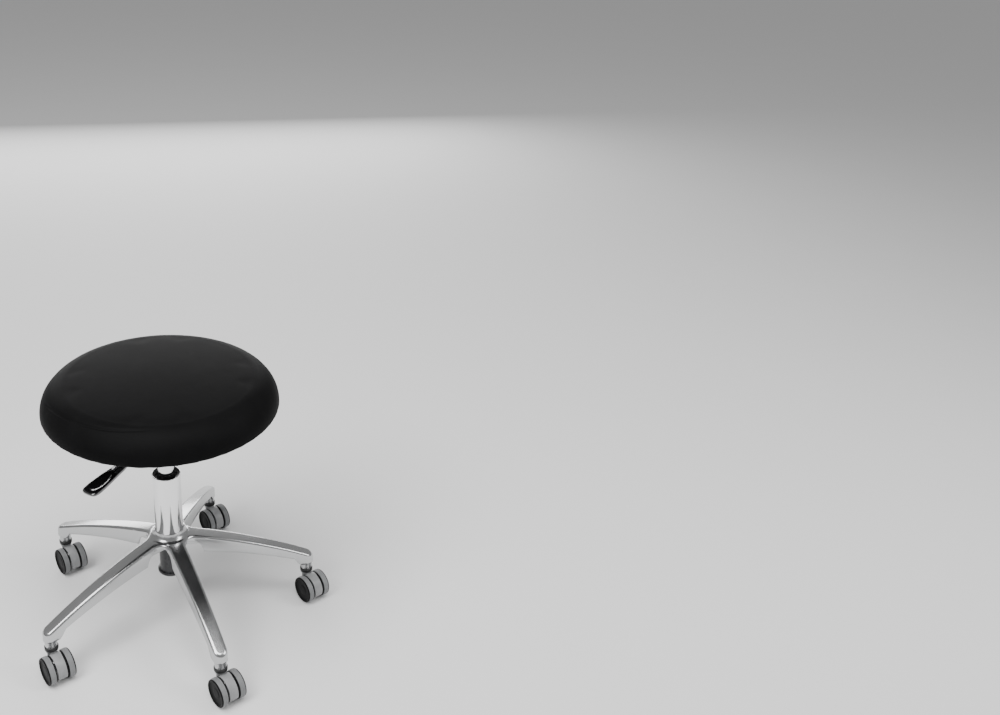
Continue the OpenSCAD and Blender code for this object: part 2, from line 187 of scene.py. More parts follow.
class Paint:
    """One material, with methods that add and join its nodes"""

    def __init__(self, name, **shader):
        self.material = bpy.data.materials.new(name)
        self.material.use_nodes = True
        self.tree = self.material.node_tree
        self.shader = self.tree.nodes["Principled BSDF"]
        self.place = self.add("ShaderNodeTexCoord").outputs["Object"]
        for socket, value in shader.items():
            self.feed(self.shader.inputs[socket.replace("_", " ")], value)

    def feed(self, socket, value):
        if isinstance(value, Value):
            value = value.socket
        if isinstance(value, bpy.types.NodeSocket):
            self.tree.links.new(value, socket)
        elif hasattr(value, "__len__") and socket.type == "RGBA" and len(value) == 3:
            socket.default_value = (*value, 1.0)
        else:
            socket.default_value = value

    def add(self, kind, settings=None, sockets=None):
        node = self.tree.nodes.new(kind)
        for name, value in (settings or {}).items():
            setattr(node, name, value)
        for name, value in (sockets or {}).items():
            self.feed(node.inputs[name], value)
        return node

    def maths(self, operation, *values):
        node = self.add("ShaderNodeMath", {"operation": operation}, dict(enumerate(values)))
        return Value(self, node.outputs[0])

    def stretched(self, x, y, z):
        """The place on the object, with its axes scaled"""
        node = self.add("ShaderNodeVectorMath", {"operation": "MULTIPLY"}, {0: self.place, 1: (x, y, z)})
        return node.outputs[0]

    def noise(self, scale, detail=3.0, roughness=0.55, place=None):
        node = self.add(
            "ShaderNodeTexNoise",
            None,
            {"Vector": place or self.place, "Scale": scale, "Detail": detail, "Roughness": roughness},
        )
        return Value(self, node.outputs[0])

    def cells(self, scale, feature="F1"):
        node = self.add("ShaderNodeTexVoronoi", {"feature": feature}, {"Vector": self.place, "Scale": scale})
        return Value(self, node.outputs["Distance"])

    def axes(self):
        node = self.add("ShaderNodeSeparateXYZ", None, {0: self.place})
        return [Value(self, out) for out in node.outputs]

    def edge_wear(self):
        """1 on sharp outer edges"""
        node = self.add("ShaderNodeNewGeometry")
        return Value(self, node.outputs["Pointiness"]).ramp(0.52, 0.62)

    def mix(self, share, low, high):
        node = self.add("ShaderNodeMix", {"data_type": "RGBA"}, {"Factor": share})
        self.feed(node.inputs[6], low)
        self.feed(node.inputs[7], high)
        return node.outputs[2]

    def set(self, socket, value):
        self.feed(self.shader.inputs[socket], value)
        return self

    def surface(self, colour, roughness):
        self.set("Base Color", colour)
        self.set("Roughness", roughness)

    def bump(self, height, depth):
        """Height from 0 to 1 becomes relief of the given depth in metres"""
        node = self.add("ShaderNodeBump", None, {"Strength": 1.0, "Distance": depth, "Height": height})
        earlier = self.shader.inputs["Normal"]
        if earlier.is_linked:
            self.tree.links.new(earlier.links[0].from_socket, node.inputs["Normal"])
        self.tree.links.new(node.outputs[0], earlier)
        return self


def shade(rgb, factor):
    return tuple(min(c * factor, 1.0) for c in rgb)


MATERIALS = {}


def finish_of(kind):
    """The material of that name, made on first use"""
    if kind not in MATERIALS:
        MATERIALS[kind] = FINISHES[kind](kind).material
    return MATERIALS[kind]


def polished_aluminium(name):
    metal = bpy.context.scene.stool_metal
    paint = Paint(name, Metallic=1.0, Specular_IOR_Level=0.5)
    cloudy = paint.noise(14.0, 2.0)
    fine = paint.noise(260.0, 4.0, 0.6)
    streak = paint.noise(90.0, 3.0, 0.6, paint.stretched(1.0, 1.0, 6.0))
    dull = 0.11 + (1.0 - metal.polish) * 0.2
    paint.surface(
        paint.mix(cloudy.ramp(0.3, 0.75), shade(metal.aluminium, 0.96), metal.aluminium),
        dull + 0.09 * cloudy * cloudy + 0.05 * fine + 0.03 * streak,
    )
    return paint.bump(paint.noise(55.0, 2.0), 0.00012).bump(fine, 0.000012)


def chromed_steel(name):
    paint = Paint(name, Metallic=1.0)
    smudge = paint.noise(22.0, 3.0)
    rub = paint.noise(240.0, 3.0, 0.6, paint.stretched(1.0, 1.0, 0.03))
    chrome = bpy.context.scene.stool_metal.chrome
    paint.surface(
        paint.mix(smudge, shade(chrome, 0.97), chrome),
        0.035 + 0.05 * smudge.ramp(0.45, 0.8) + 0.02 * rub,
    )
    return paint.bump(rub, 0.000004)


def ground_steel(name):
    paint = Paint(name, Metallic=1.0)
    lines = paint.noise(900.0, 2.0, 0.5, paint.stretched(0.05, 0.05, 1.0))
    stain = paint.noise(60.0, 3.0)
    paint.surface(
        paint.mix(stain, (0.5, 0.5, 0.51), (0.66, 0.66, 0.67)),
        0.17 + 0.12 * lines + 0.08 * stain,
    )
    return paint.bump(lines, 0.00001)


def zinc_steel(name):
    paint = Paint(name, Metallic=1.0)
    flakes = paint.cells(420.0)
    stain = paint.noise(90.0, 4.0)
    paint.surface(
        paint.mix(stain.ramp(0.35, 0.7), (0.42, 0.42, 0.44), (0.6, 0.6, 0.62)),
        0.26 + 0.14 * stain + 0.05 * flakes,
    )
    return paint.bump(flakes, 0.00002).bump(paint.noise(700.0, 2.0), 0.00001)


def piston_brass(name):
    paint = Paint(name, Metallic=1.0)
    rings = paint.noise(1200.0, 1.0, 0.5, paint.stretched(0.02, 0.02, 1.0))
    tarnish = paint.noise(80.0, 4.0)
    paint.surface(
        paint.mix(tarnish.ramp(0.4, 0.7), (0.72, 0.5, 0.2), (0.5, 0.33, 0.12)),
        0.22 + 0.2 * tarnish,
    )
    return paint.bump(rings, 0.00001)


def coated(name, rgb, roughness, peel, depth, worn=(0.2, 0.2, 0.21), wear=0.35):
    """Paint or powder coat with an even peel, rubbed bright on its edges"""
    paint = Paint(name, Specular_IOR_Level=0.5)
    texture = paint.noise(peel, 3.0)
    dust = paint.noise(35.0, 4.0)
    edge = paint.edge_wear() * paint.noise(170.0, 3.0).ramp(0.45, 0.7) * wear
    tone = paint.mix(dust.ramp(0.4, 0.8), rgb, shade(rgb, 1.6))
    paint.surface(paint.mix(edge, tone, worn), roughness + 0.1 * dust + 0.06 * texture)
    return paint.bump(texture, depth)


def black_steel(name):
    return coated(name, bpy.context.scene.stool_metal.black_paint, 0.2, 240.0, 0.00003)


def black_plate(name):
    return coated(name, (0.022, 0.022, 0.024), 0.42, 900.0, 0.00005)


def moulded(name, rgb, roughness, grain, depth, scuff=1.5):
    """Moulded plastic with a fine spark-eroded grain and dull scuffs"""
    paint = Paint(name, Specular_IOR_Level=0.5)
    texture = paint.noise(grain, 4.0, 0.6)
    worn = paint.noise(48.0, 4.0)
    scratch = paint.noise(330.0, 2.0, 0.5, paint.stretched(1.0, 0.12, 0.4)).ramp(0.64, 0.7)
    tone = paint.mix(worn.ramp(0.35, 0.8), shade(rgb, 0.88), shade(rgb, 1.12))
    paint.surface(
        paint.mix(0.25 * scratch + 0.12 * paint.edge_wear(), tone, shade(rgb, scuff)),
        roughness + 0.12 * worn + 0.08 * scratch,
    )
    return paint.bump(texture, depth)


def black_nylon(name):
    return moulded(name, (0.012, 0.012, 0.0125), 0.38, 900.0, 0.00003)


def lever_plastic(name):
    """Glossy plastic with a slightly wavy moulded skin"""
    paint = moulded(name, bpy.context.scene.stool_metal.grip, 0.06, 260.0, 0.000006, 3.0)
    return paint.set("Specular IOR Level", 1.0).set("Coat Weight", 1.0).bump(paint.noise(48.0, 1.0), 0.0016)


def hood_plastic(name):
    return moulded(name, bpy.context.scene.stool_casters.hood, 0.34, 800.0, 0.00003, 1.3)


def wheel_plastic(name):
    paint = moulded(name, bpy.context.scene.stool_casters.wheel, 0.42, 700.0, 0.00005, 1.6)
    return paint.set("Specular IOR Level", 0.1)


def tread_rubber(name):
    paint = moulded(name, bpy.context.scene.stool_casters.tread, 0.5, 600.0, 0.00004, 0.8)
    dirt = paint.noise(70.0, 5.0, 0.7).ramp(0.5, 0.75)
    earlier = paint.shader.inputs["Base Color"].links[0].from_socket
    return paint.set("Base Color", paint.mix(0.35 * dirt, earlier, (0.16, 0.155, 0.15)))


def buffer_rubber(name):
    return moulded(name, (0.014, 0.014, 0.014), 0.7, 500.0, 0.00006)


def plywood(name):
    wood = bpy.context.scene.stool_seat.plywood
    paint = Paint(name)
    x, y, z = paint.axes()
    grain = paint.noise(9.0, 5.0, 0.6, paint.stretched(1.0, 9.0, 9.0))
    pores = paint.noise(150.0, 3.0, 0.6, paint.stretched(0.08, 1.0, 1.0)).ramp(0.55, 0.7)
    ply = (z * 4200.0).sine().ramp(-0.2, 0.2)
    tone = paint.mix(grain.ramp(0.35, 0.7), shade(wood, 0.78), shade(wood, 1.15))
    paint.surface(paint.mix(0.35 * pores + 0.12 * ply, tone, shade(wood, 0.4)), 0.62 + 0.15 * grain)
    return paint.bump(1.0 - pores, 0.0001)


def leatherette(name):
    seat = bpy.context.scene.stool_seat
    paint = Paint(name, Specular_IOR_Level=0.045)
    pebble = paint.cells(1.0 / seat.grain, "SMOOTH_F1")
    crease = paint.noise(0.6 / seat.grain, 4.0, 0.6)
    broad = paint.noise(9.0, 3.0)
    rubbed = paint.noise(26.0, 4.0)
    tone = paint.mix(broad.ramp(0.35, 0.7), shade(seat.cover, 0.88), shade(seat.cover, 1.15))
    paint.surface(
        paint.mix(0.5 * rubbed.ramp(0.5, 0.8), tone, shade(seat.cover, 1.35)),
        0.47 + 0.1 * broad + 0.06 * crease + 0.05 * rubbed,
    )
    return paint.bump(pebble * 0.7 + crease * 0.3, 0.00011).bump(rubbed, 0.0002)


def pale_floor(name):
    stage = bpy.context.scene.stool_stage
    paint = Paint(name, Specular_IOR_Level=0.2)
    mottle = paint.noise(5.0, 4.0)
    paint.surface(paint.mix(mottle, shade(stage.floor, 0.985), stage.floor), 0.75 + 0.1 * mottle)
    return paint.bump(paint.noise(180.0, 3.0), 0.00005)


FINISHES = {
    f.__name__: f
    for f in (
        polished_aluminium, chromed_steel, ground_steel, zinc_steel, piston_brass, black_steel,
        black_plate, black_nylon, lever_plastic, hood_plastic, wheel_plastic, tread_rubber,
        buffer_rubber, plywood, leatherette, pale_floor,
    )
}


# ---------------------------------------------------------------- mesh work


def body_with(node):
    return next(b for b, nodes in frame["record"]["behaviour"]["bodies"].items() if node in nodes)


def slot_with(node):
    return next(s["material_slot"] for s in frame["record"]["subparts"] if s["node"] == node)


def smooth_piece(name, mesh, angle=40.0):
    for polygon in mesh.polygons:
        polygon.use_smooth = True
    mesh.set_sharp_from_angle(angle=math.radians(angle))
    piece = bpy.data.objects.new(name, mesh)
    bpy.context.scene.collection.objects.link(piece)
    return piece


def closed_mesh(name, shapes, merge=1e-6):
    """One mesh from (points, faces) shapes, without doubled points and with its faces outwards"""
    points, faces = [], []
    for shape_points, shape_faces in shapes:
        faces += [[len(points) + k for k in face] for face in shape_faces]
        points += [tuple(p) for p in shape_points]
    mesh = bpy.data.meshes.new(name)
    mesh.from_pydata(points, [], faces)
    work = bmesh.new()
    work.from_mesh(mesh)
    bmesh.ops.remove_doubles(work, verts=work.verts, dist=merge)
    bmesh.ops.dissolve_degenerate(work, edges=work.edges, dist=merge)
    bmesh.ops.recalc_face_normals(work, faces=work.faces)
    work.to_mesh(mesh)
    work.free()
    return mesh


def joined(name, shapes, slot, body, angle=40.0, merge=1e-6):
    """One piece from (points, faces) shapes in the row frame, riding on a body"""
    mesh = closed_mesh(name, shapes, merge)
    piece = smooth_piece(name, mesh, angle)
    mesh.materials.append(finish_of(slot))
    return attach(piece, body)


def build(name, shapes, node, angle=40.0, merge=1e-6):
    """A piece that stands for a CAD node and rides with it"""
    piece = joined(name, shapes, slot_with(node), body_with(node), angle, merge)
    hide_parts(node)
    return piece


def moved(shape, matrix):
    points, faces = shape
    return [matrix @ Vector(p) for p in points], faces


def eased(node, width, angle=32.0):
    """The CAD node's own shape with its edges broken"""
    work = bmesh.new()
    work.from_mesh(frame["nodes"][node].data)
    bmesh.ops.remove_doubles(work, verts=work.verts, dist=1e-6)
    bmesh.ops.dissolve_limit(work, angle_limit=math.radians(0.6), verts=work.verts, edges=work.edges)
    crisp = [e for e in work.edges if e.is_manifold and e.calc_face_angle(0.0) > math.radians(angle)]
    bmesh.ops.bevel(
        work, geom=crisp, offset=width, offset_type="OFFSET", segments=2, profile=0.6,
        affect="EDGES", clamp_overlap=True, harden_normals=False,
    )
    bmesh.ops.recalc_face_normals(work, faces=work.faces)
    mesh = bpy.data.meshes.new(node)
    work.to_mesh(mesh)
    work.free()
    piece = smooth_piece(f"{node}_shape", mesh)
    mesh.materials.append(finish_of(slot_with(node)))
    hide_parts(node)
    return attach(piece, body_with(node))


def in_mm(*corners):
    """Corners given in millimetres as (across, height, rounding)"""
    return [tuple(value * MM for value in corner) for corner in corners]


def rounded(outline):
    """The closed outline of (across, height, rounding) corners, with each turned into a small arc"""
    made, steps = [], 3
    for k, (x, y, r) in enumerate(outline):
        here = Vector((x, y))
        before = Vector(outline[k - 1][:2]) - here
        after = Vector(outline[(k + 1) % len(outline)][:2]) - here
        if r <= 0:
            made.append(tuple(here))
            continue
        r = min(r, 0.45 * before.length, 0.45 * after.length)
        a, b = here + before.normalized() * r, here + after.normalized() * r
        for s in range(steps + 1):
            t = s / steps
            made.append(tuple((1 - t) ** 2 * a + 2 * t * (1 - t) * here + t * t * b))
    return made


def ring_faces(rings, count):
    """Quads between rings of count points, and a face over each end"""
    faces = [
        [i * count + k, i * count + (k + 1) % count, (i + 1) * count + (k + 1) % count, (i + 1) * count + k]
        for i in range(rings - 1)
        for k in range(count)
    ]
    return faces + [list(range(count)), list(range((rings - 1) * count, rings * count))]


def turned(outline, count, closed=True):
    """Revolves a (radius, height) outline round Z"""
    points = [
        (r * math.cos(a), r * math.sin(a), z)
        for r, z in outline
        for a in (2 * math.pi * k / count for k in range(count))
    ]
    faces = ring_faces(len(outline), count)[:-2]
    if closed:
        last = len(points) - count
        faces += [[last + k, last + (k + 1) % count, (k + 1) % count, k] for k in range(count)]
    return points, faces


def slab(outline, low, high, edge=0.6 * MM):
    """A plate of any plan, with rounded rims"""
    n = len(outline)
    area = sum(outline[k - 1][0] * outline[k][1] - outline[k][0] * outline[k - 1][1] for k in range(n))
    turn = 1 if area > 0 else -1

    def inset(depth):
        made = []
        for k in range(n):
            before = (Vector(outline[k]) - Vector(outline[k - 1])).normalized()
            after = (Vector(outline[(k + 1) % n]) - Vector(outline[k])).normalized()
            side = Vector((-(before + after).y, (before + after).x)).normalized() * turn
            made.append(Vector(outline[k]) + side * depth)
        return made

    angles = [math.pi / 4 * k for k in range(3)]
    rings = [(edge * (1 - math.sin(a)), low + edge * (1 - math.cos(a))) for a in angles]
    rings += [(depth, high + low - z) for depth, z in reversed(rings)]
    points = [(p.x, p.y, z) for depth, z in rings for p in inset(depth)]
    return points, ring_faces(len(rings), n)


def bar_along(path, radius, count):
    """A round bar along points"""
    path = [Vector(p) for p in path]
    side = Vector((0, 0, 1)).cross(path[-1] - path[0]).normalized()
    points = []
    for k, p in enumerate(path):
        along = (path[min(k + 1, len(path) - 1)] - path[max(k - 1, 0)]).normalized()
        u = (side - along * side.dot(along)).normalized()
        v = along.cross(u)
        points += [
            p + (u * math.cos(a) + v * math.sin(a)) * radius
            for a in (2 * math.pi * j / count for j in range(count))
        ]
    return points, ring_faces(len(path), count)


def at_stem(i):
    return Matrix.Translation((STEM[i].x, STEM[i].y, 0))


def turn_z(angle):
    return Matrix.Rotation(angle, 4, "Z")


def smoothstep(x, low, high):
    t = min(max((x - low) / (high - low), 0.0), 1.0)
    return t * t * (3 - 2 * t)


# ---------------------------------------------------------------- cast base

ARM_ROOT, ARM_HALF, TIP_R = 45 * MM, 15.5 * MM, 12 * MM
ARM_TOP_Z, ARM_END_Z, ARM_BOW = 160 * MM, 94 * MM, 0.38
FOOT_Z, FOOT_DROP, HEEL_Z = 126 * MM, 48 * MM, 71 * MM
GUSSET = (226 * MM, 238 * MM)
WEB_R, FILLET_R = 39 * MM, 18.01 * MM
COLLAR_R, COLLAR_TOP, FLARE_R, FLARE_C = 25.9 * MM, 174 * MM, 13.6 * MM, 39.8 * MM
TOP_PLATE, HUB_ROUND = 4.5 * MM, 1 * MM
BOSS_R, BOSS_Z = 28 * MM, 143.5 * MM
ARCH_HALF, ARCH_TOP = 22.5 * MM, 153 * MM
SOCKET_R, SOCKET_Z = 10.5 * MM, 58 * MM
SPIGOT_R = 20 * MM


def arm_top(r):
    t = (r - ARM_ROOT) / (BASE_R - ARM_ROOT)
    top = ARM_TOP_Z - (ARM_TOP_Z - ARM_END_Z) * ((1 - ARM_BOW) * t + ARM_BOW * t * t)
    if r < FLARE_C:
        reach = max(FLARE_C - r, 0.0)
        flare = COLLAR_TOP - math.sqrt(max(FLARE_R**2 - reach**2, 0.0))
        blend = smoothstep(r, 33 * MM, FLARE_C)
        return flare * (1 - blend) + max(top, flare) * blend
    return top


def arm_foot(r):
    if r >= GUSSET[1]:
        return HEEL_Z
    t = max(0.0, min(r, GUSSET[0]) - ARM_ROOT - 5 * MM) / (BASE_R - ARM_ROOT - 5 * MM)
    foot = FOOT_Z - FOOT_DROP * (t + t * t) / 2
    return foot + (HEEL_Z - foot) * smoothstep(r, *GUSSET)


def arm_stations():
    """Half an arm's plan, from its tip to the web: (outline point, inward direction, spine point)"""
    made = []
    for k in range(9):
        a = math.pi / 2 * k / 8
        made.append((
            Vector((BASE_R + TIP_R * math.cos(a), TIP_R * math.sin(a))),
            Vector((-math.cos(a), -math.sin(a))),
            Vector((BASE_R + 0.35 * TIP_R * math.cos(a), 0)),
        ))
    joint_x = (WEB_R + FILLET_R) * math.cos(STEP / 2)
    joint_y = (WEB_R + FILLET_R) * math.sin(STEP / 2)
    slope = (ARM_HALF - TIP_R) / (BASE_R - joint_x)
    inward = Vector((-slope, -1)).normalized()
    near_hub = 74 * MM
    steps = [(BASE_R, near_hub, 30), (near_hub, joint_x, 14)]
    for x in [a + (b - a) * (k + 1) / n for a, b, n in steps for k in range(n)][:-1]:
        made.append((Vector((x, TIP_R + (BASE_R - x) * slope)), inward, Vector((x, 0))))
    count = 18
    for k in range(count + 1):
        a = math.radians(270 - 54 * k / count)
        out = Vector((math.cos(a), math.sin(a)))
        share = k / count
        near = COLLAR_R + HUB_ROUND
        if share < 0.25:
            spine = Vector((joint_x + (near - joint_x) * share / 0.25, 0))
        else:
            b = STEP / 2 * (share - 0.25) / 0.75
            spine = Vector((near * math.cos(b), near * math.sin(b)))
        made.append((Vector((joint_x, joint_y)) + out * FILLET_R, out, spine))
    return made


def arch(point, foot):
    """Raises the lower edge into the arch between two arms"""
    across = abs(-point.x * math.sin(STEP / 2) + point.y * math.cos(STEP / 2))
    if point.length > 80 * MM or across >= ARCH_HALF:
        return foot
    return foot + (ARCH_TOP - foot) * math.sqrt(1 - (across / ARCH_HALF) ** 2.2)


class STOOL_OT_base(bpy.types.Operator):
    """Cast base: five arms, hub with arches, collar round the column and caster sockets"""

    bl_idname = "stool.base"
    bl_label = "Cast base"

    def section(self, point, inward, spine, edge, wall):
        """The casting's section at one place: over the top, down the wall and under the roof"""
        made = []
        low = arch(point, arm_foot(point.length))
        at_tip = point.length > GUSSET[1] - 6 * MM

        def at(depth, z):
            where = point + inward * depth
            made.append((where.x, where.y, z))

        def ceiling(r):
            return HEEL_Z + 1 * MM if at_tip else arm_top(r) - TOP_PLATE

        for k in range(7):
            a = math.pi / 2 * k / 6
            depth = edge * (1 - math.cos(a))
            at(depth, arm_top((point + inward * depth).length) - edge * (1 - math.sin(a)))
        rim = made[0][2]
        made.reverse()
        start = Vector(made[0][:2])
        over = [spine.lerp(start, k / 5) for k in range(5)]
        made[:0] = [(where.x, where.y, arm_top(where.length)) for where in over]
        for k in range(1, 5):
            at(-0.5 * MM * k / 4, rim + (low + 1.4 * MM - rim) * k / 4)
        at(0, low + 0.4 * MM)
        at(1.2 * MM, low)
        at(wall - 1.2 * MM, low)
        at(wall - 0.2 * MM, low + 0.5 * MM)
        at(wall, low + 1.6 * MM)
        roof = max(ceiling((point + inward * (wall + 2 * MM)).length), low + 2.6 * MM)
        at(wall + 0.1 * MM, low + 0.5 * (roof - low))
        at(wall + 0.6 * MM, roof - 1.6 * MM if roof - low > 4 * MM else roof - 0.5 * MM)
        at(wall + 2.2 * MM, roof)
        last = Vector(made[-1][:2])
        for k in range(1, 4):
            where = last.lerp(spine, k / 3)
            z = roof if at_tip else max(ceiling(where.length), roof - 30 * MM)
            made.append((where.x, where.y, z))
        return made

    def half_arm(self, edge, wall):
        """One side of an arm with its share of the hub"""
        sections = [self.section(*station, edge, wall) for station in arm_stations()]
        rows = len(sections[0])
        faces = [
            [i * rows + j, (i + 1) * rows + j, (i + 1) * rows + j + 1, i * rows + j + 1]
            for i in range(len(sections) - 1)
            for j in range(rows - 1)
        ]
        return [p for section in sections for p in section], faces

    def collar(self):
        """Lip round the column, on top of the hub"""
        root, bore = COLLAR_R + HUB_ROUND, COLUMN_R + 0.06 * MM
        outline = [
            (root, arm_top(root), 0), (COLLAR_R + 0.25 * MM, 171.6 * MM, 0.8 * MM),
            (COLLAR_R - 0.1 * MM, COLLAR_TOP, 1 * MM), (bore, COLLAR_TOP, 0.5 * MM),
            (bore, COLUMN_LOW, 0), (BOSS_R + 0.9 * MM, COLUMN_LOW, 0),
        ]
        return turned(rounded(outline), 120)

    def boss(self):
        """Ring under the hub, round the column's foot"""
        root, bore, shoulder = COLLAR_R + HUB_ROUND, SPIGOT_R + 0.1 * MM, COLUMN_LOW - 0.4 * MM
        outline = [
            (root, arm_top(root) - TOP_PLATE, 0), (BOSS_R, 156 * MM, 2 * MM), (BOSS_R, BOSS_Z, 1.5 * MM),
            (bore, BOSS_Z, 0.6 * MM), (bore, shoulder, 0), (BOSS_R + 0.6 * MM, shoulder, 0),
        ]
        return turned(rounded(outline), 120)

    def socket(self):
        """Round seat for a caster's stem, under an arm's tip"""
        outline = [
            (TIP_R - 0.7 * MM, HEEL_Z + 9 * MM, 0), (TIP_R - 1 * MM, HEEL_Z + 0.5 * MM, 2 * MM),
            (SOCKET_R, HEEL_Z - 5 * MM, 4 * MM), (SOCKET_R, SOCKET_Z, 1.2 * MM),
            (6 * MM, SOCKET_Z, 0.4 * MM), (6 * MM, HEEL_Z + 9 * MM, 0),
        ]
        return turned(rounded(outline), 48)

    def webs(self):
        """Two slabs that carry an arm's side walls on to the boss"""
        out, start, end = ARM_HALF - 0.3 * MM, BOSS_R - 5 * MM, 70 * MM
        plan = [(start, out - 3 * MM), (end, out - 3.4 * MM), (end, out - 0.5 * MM), (start, out)]
        mirrored = [(x, -y) for x, y in reversed(plan)]
        return [slab(outline, BOSS_Z, ARCH_TOP) for outline in (plan, mirrored)]

    def execute(self, context):
        metal = context.scene.stool_metal
        half = self.half_arm(metal.edge_round, metal.casting_wall)
        shapes = [self.collar(), self.boss()]
        for i in STEM_ARMS:
            turn = turn_z(STEP * (i - 1))
            shapes += [moved(half, turn), moved(half, turn @ Matrix.Scale(-1, 4, (0, 1, 0)))]
            shapes.append(moved(self.socket(), at_stem(i)))
            shapes += [moved(web, turn) for web in self.webs()]
        build("base_arms", shapes, "base_casting", angle=50.0, merge=2e-5)
        return {"FINISHED"}


# ---------------------------------------------------------------- column and gas lift


class STOOL_OT_column(bpy.types.Operator):
    """Chromed column with its black foot, guide bushing and gas cylinder"""

    bl_idname = "stool.column"
    bl_label = "Column and gas lift"

    def bushing(self):
        """Plastic guide in the column's mouth, with short ribs round the gas cylinder"""
        bore, gas, top, low = (
            size / MM for size in (COLUMN_BORE, GAS_R, COLUMN_TOP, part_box("column_bushing")[0].z)
        )
        guide = in_mm(
            (bore, low, 0.4), (bore, top - 2.4, 0.6), (bore - 2.2, top - 2.4, 0.7),
            (bore - 4.2, top - 5.2, 1.2), (gas + 2.2, top - 6.2, 1), (gas + 0.08, top - 8.4, 0.8),
            (gas + 0.08, low + 22, 0.3), (bore - 2.4, low + 22, 0.3), (bore - 2.4, low, 0.3),
        )
        plan = [(x * MM, y * MM) for x, y in ((0, -0.9), (3.4, -0.9), (3.4, 0.9), (0, 0.9))]
        rib = slab(plan, COLUMN_TOP - 6.6 * MM, COLUMN_TOP - 3.6 * MM, 0.3 * MM)
        out = Matrix.Translation((COLUMN_BORE - 6.2 * MM, 0, 0))
        ribs = [moved(rib, turn_z(2 * math.pi * (k + 0.5) / 8) @ out) for k in range(8)]
        build("guide_bushing", [turned(rounded(guide), 120), *ribs], "column_bushing")

    def cylinder(self):
        """Gas cylinder, a little narrower above its taper"""
        low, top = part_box("gas_cylinder")[0].z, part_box("gas_cylinder")[1].z
        taper, head, pin, bore = 330 * MM, 12 * MM, 4 * MM, GAS_R - 2.5 * MM
        shell = [
            (GAS_R, low, 1 * MM), (GAS_R, taper, 0), (GAS_R - 1.1 * MM, top, 0.8 * MM), (pin, top, 0.4 * MM),
            (pin, top - head, 0), (bore, top - head, 0.5 * MM), (bore, low, 0.4 * MM),
        ]
        build("gas_cylinder_shell", [turned(rounded(shell), 128)], "gas_cylinder")

    def foot(self):
        """Black foot of the column, with a flange at its lower end and the bearing's seat inside"""
        outer, bore, ledge = (size / MM for size in (SPIGOT_R, COLUMN_BORE, COLUMN_LOW))
        low, race = (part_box(node)[0].z / MM for node in ("column_spigot", "thrust_race_lower"))
        spigot = in_mm(
            (outer, ledge - 0.5, 0), (outer, low + 8.6, 1), (outer + 4, low + 7.4, 1),
            (outer + 4, low + 3, 1.5), (outer + 1, low, 1), (13, low, 0.5), (13, race - 3, 0.3),
            (5.2, race - 3, 0.3), (5.2, race, 0.2), (16, race, 0.5), (16, ledge + 14, 0.3),
            (bore, ledge + 14, 0.3), (bore, ledge + 0.2, 0), (outer, ledge + 0.2, 0),
        )
        build("column_foot", [turned(rounded(spigot), 120)], "column_spigot")

    def execute(self, context):
        inside = COLUMN_R - 1.6 * MM
        tube = [
            (COLUMN_R, COLUMN_LOW, 0.3 * MM), (COLUMN_R, COLUMN_TOP, 1.1 * MM),
            (inside, COLUMN_TOP, 0.6 * MM), (inside, COLUMN_LOW, 0.3 * MM),
        ]
        build("column_sleeve", [turned(rounded(tube), 160)], "column_tube")
        self.bushing()
        self.cylinder()
        self.foot()
        for node, width in (
            ("piston_rod", 0.4), ("rod_clip", 0.2), ("rubber_buffer", 1.0), ("piston", 0.4),
            ("cylinder_seal", 0.4), ("thrust_race_lower", 0.2), ("thrust_race_upper", 0.2),
            ("release_pin", 0.3),
        ):
            eased(node, width * MM)
        balls = frame["nodes"]["thrust_balls"].data.materials
        balls.clear()
        balls.append(finish_of("ground_steel"))
        return {"FINISHED"}


# ---------------------------------------------------------------- casters


def on_axle(i, side):
    """From a turned shape's own Z, outwards, to the wheel's axis"""
    out = AXLE_DIR if side == "right" else -AXLE_DIR
    return Matrix.Translation(AXLE[i]) @ out.to_track_quat("Z", "Y").to_matrix().to_4x4()


